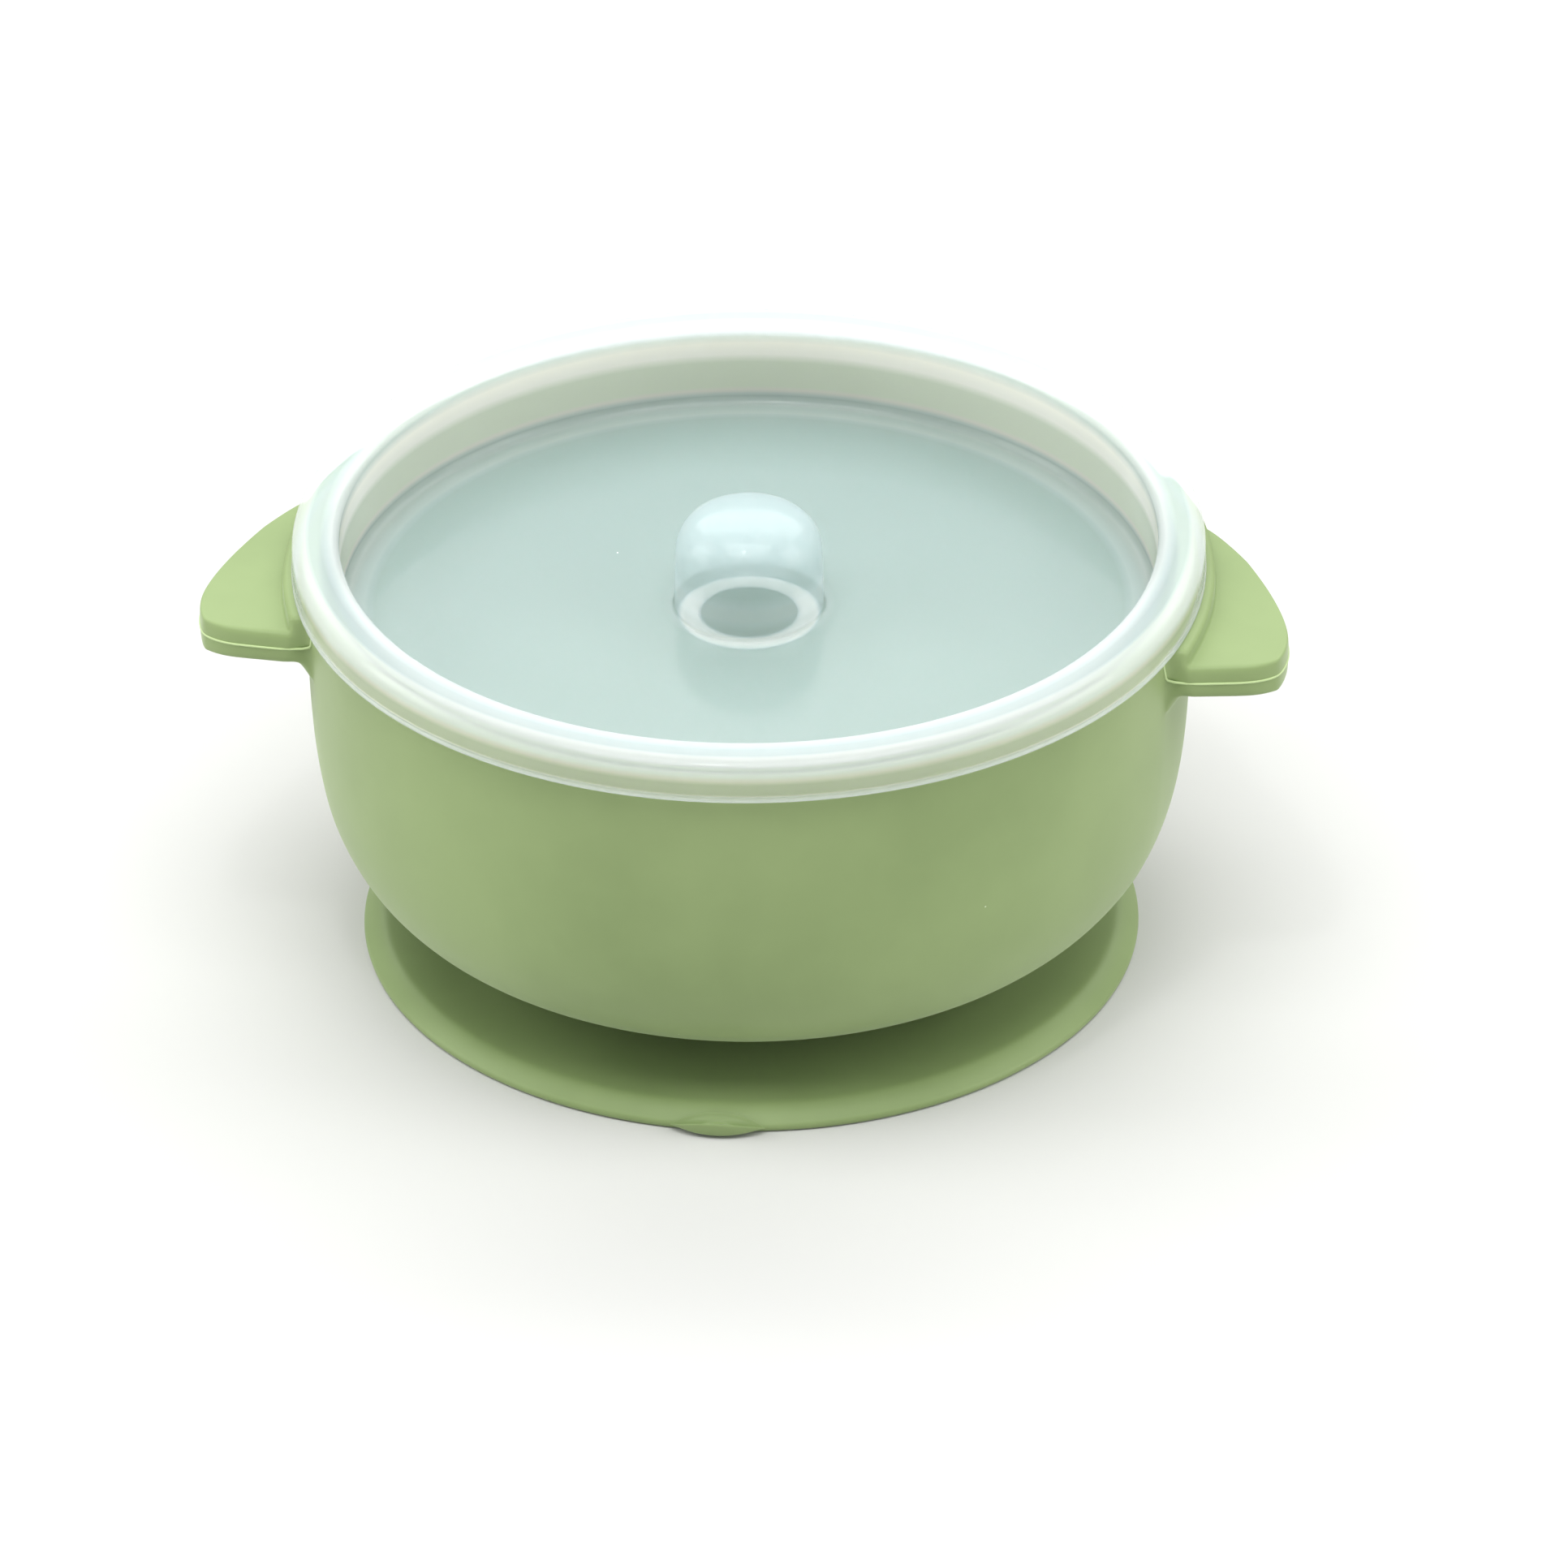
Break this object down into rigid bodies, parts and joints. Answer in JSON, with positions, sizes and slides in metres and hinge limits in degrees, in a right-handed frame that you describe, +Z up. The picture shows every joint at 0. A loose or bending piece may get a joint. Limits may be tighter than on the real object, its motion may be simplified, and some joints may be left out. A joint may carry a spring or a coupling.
{
  "type": "suction bowl",
  "caption": "Round baby feeding bowl with a shallow belly, a flat ear on either side, a wide suction base with a release tab, and a translucent recessed lid with a domed knob.",
  "frame": {"origin": "centre of the suction base's underside, on the table", "axes": "+Z up along the bowl's axis, X through the two ears, -Y towards the release tab at the front"},
  "size_m": [0.1458, 0.1226, 0.0644],
  "materials": {
    "green_silicone": "matte moulded",
    "clear_silicone": "translucent, satin moulded"
  },
  "bodies": {
    "base": {"suction_disc": "green_silicone"},
    "bowl": {"bowl": "green_silicone", "ear_right": "green_silicone", "ear_left": "green_silicone", "neck": "green_silicone"},
    "tab": {"release_tab": "green_silicone"},
    "lid": {"lid": "clear_silicone", "lid_knob": "clear_silicone"}
  },
  "joints": [
    {"name": "suction_press", "type": "slide", "parent": "base", "child": "bowl", "axis": [0, 0, 1], "range_m": [-0.002, 0], "stiffness_N_per_m": 5000, "springref_m": 0.001, "deforming": ["suction_disc"]},
    {"name": "lid_lift", "type": "slide", "parent": "bowl", "child": "lid", "axis": [0, 0, 1], "range_m": [0, 0.05]},
    {"name": "tab_flex", "type": "hinge", "parent": "base", "child": "tab", "pos_m": [0, -0.0517, 0.002], "axis": [-1, 0, 0], "range_deg": [0, 50], "stiffness_Nm_per_rad": 0.02}
  ]
}
